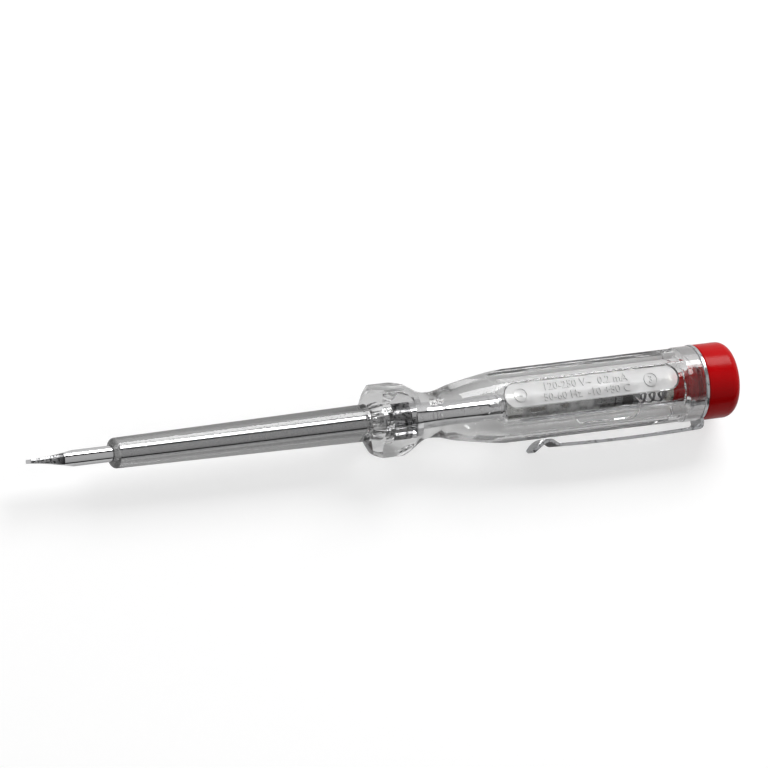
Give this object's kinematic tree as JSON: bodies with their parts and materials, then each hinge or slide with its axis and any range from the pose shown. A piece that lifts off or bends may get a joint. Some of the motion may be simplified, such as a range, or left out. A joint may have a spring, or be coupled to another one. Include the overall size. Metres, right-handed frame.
{
  "type": "voltage tester",
  "caption": "Mains voltage tester with a flat steel blade in a clear sleeve, a clear faceted handle with a glow lamp inside, a steel pocket clip and a red screw cap.",
  "frame": {"origin": "on the tester's axis, where the bare 3 mm shaft comes out of the sleeve's mouth", "axes": "+X along the axis to the red cap, -X to the blade's tip; +Z is the normal of the flat with the label field; the clip lies on the -Y side, 15 degrees below level"},
  "size_m": [0.1393, 0.0163, 0.014],
  "materials": {
    "bright_steel": "polished nickel-plated steel",
    "clear_plastic": "clear moulded cellulose acetate",
    "lamp_glass": "clear glass tube",
    "nickel": "satin nickel",
    "tin_plate": "pressed tinned steel",
    "solder": "cooled solder",
    "resistor_lacquer": "dark lacquer",
    "spring_steel": "drawn spring wire",
    "brass": "punched brass, nickel plated",
    "red_plastic": "glossy moulded red plastic",
    "clip_steel": "plated spring sheet with sheared edges"
  },
  "bodies": {
    "handle": {"blade": "bright_steel", "blade_sleeve": "clear_plastic", "handle_body": "clear_plastic", "lamp_glass": "lamp_glass", "lamp_front_bead": "lamp_glass", "lamp_rear_bead": "lamp_glass", "lamp_front_electrode": "nickel", "lamp_rear_electrode": "nickel", "lamp_front_cap": "tin_plate", "lamp_rear_cap": "tin_plate", "lamp_front_solder": "solder", "lamp_rear_solder": "solder", "resistor_rod": "resistor_lacquer", "resistor_front_cap": "tin_plate", "resistor_rear_cap": "tin_plate", "contact_spring": "spring_steel"},
    "clip_ring": {"clip_ring": "clip_steel"},
    "clip_arm": {"clip_arm": "clip_steel"},
    "cap_slider": {"touch_stud": "nickel", "spring_seat": "brass"},
    "cap": {"end_cap": "red_plastic"}
  },
  "joints": [
    {"name": "clip_swivel", "type": "hinge", "parent": "handle", "child": "clip_ring", "pos_m": [0.11577, 0, 0], "axis": [1, 0, 0], "continuous": true},
    {"name": "clip_flex", "type": "hinge", "parent": "clip_ring", "child": "clip_arm", "pos_m": [0.11497, -0.00715, -0.00192], "axis": [0, -0.2588, 0.9659], "range_deg": [0, 6], "stiffness_Nm_per_rad": 1.2},
    {"name": "cap_travel", "type": "slide", "parent": "handle", "child": "cap_slider", "axis": [1, 0, 0], "range_m": [0, 0.003], "deforming": ["contact_spring"]},
    {"name": "cap_turn", "type": "hinge", "parent": "cap_slider", "child": "cap", "pos_m": [0.11612, 0, 0], "axis": [1, 0, 0], "range_deg": [0, 1080]}
  ],
  "couplings": [
    {"joint": "cap_turn", "follows": "cap_travel", "rad_per_m": 6283.1}
  ]
}
